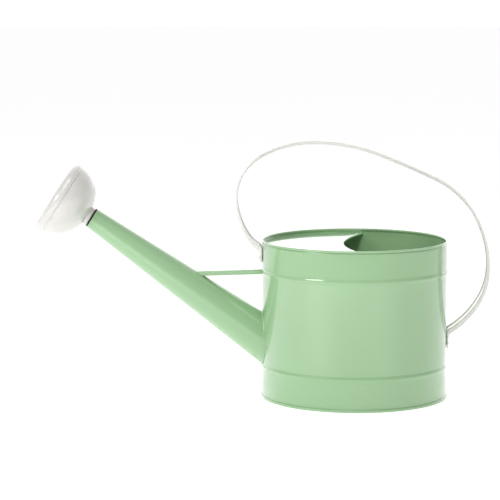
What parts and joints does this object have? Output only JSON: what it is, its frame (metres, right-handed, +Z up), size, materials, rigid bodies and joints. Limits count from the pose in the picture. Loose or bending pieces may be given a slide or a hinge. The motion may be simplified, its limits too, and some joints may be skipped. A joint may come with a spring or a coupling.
{
  "type": "watering can",
  "caption": "Round steel watering can with a half-covered mouth, a braced tapered spout, a wide bow handle and a round rose that pulls off and turns.",
  "frame": {"origin": "centre of the round base at floor level, on the can's axis; the recessed base pan lies 2.6 mm above it", "axes": "+Z up along the can's axis, -X towards the spout and rose, +X towards the rear of the handle, symmetric about the XZ plane"},
  "size_m": [0.5202, 0.2152, 0.297],
  "materials": {
    "green_paint": "gloss",
    "cream_paint": "gloss",
    "bare_wire": "galvanised",
    "black_rubber": "matt"
  },
  "bodies": {
    "can": {"body_shell": "green_paint", "rim_wire": "bare_wire", "base_pan": "green_paint", "splash_cover": "green_paint", "spout_tube": "green_paint", "brace": "green_paint", "handle_strap": "cream_paint", "front_rivets": "cream_paint", "rear_rivets": "cream_paint", "front_washers": "black_rubber", "rear_washers": "black_rubber"},
    "bush": {"rose_bush": "black_rubber"},
    "rose": {"rose_neck": "cream_paint", "rose_back": "cream_paint", "rose_face": "cream_paint"}
  },
  "joints": [
    {"name": "rose_pull", "type": "slide", "parent": "can", "child": "bush", "axis": [-0.8453, 0, 0.5344], "range_m": [0, 0.03]},
    {"name": "rose_turn", "type": "hinge", "parent": "bush", "child": "rose", "pos_m": [-0.30103, 0, 0.20648], "axis": [-0.8453, 0, 0.5344], "continuous": true}
  ]
}
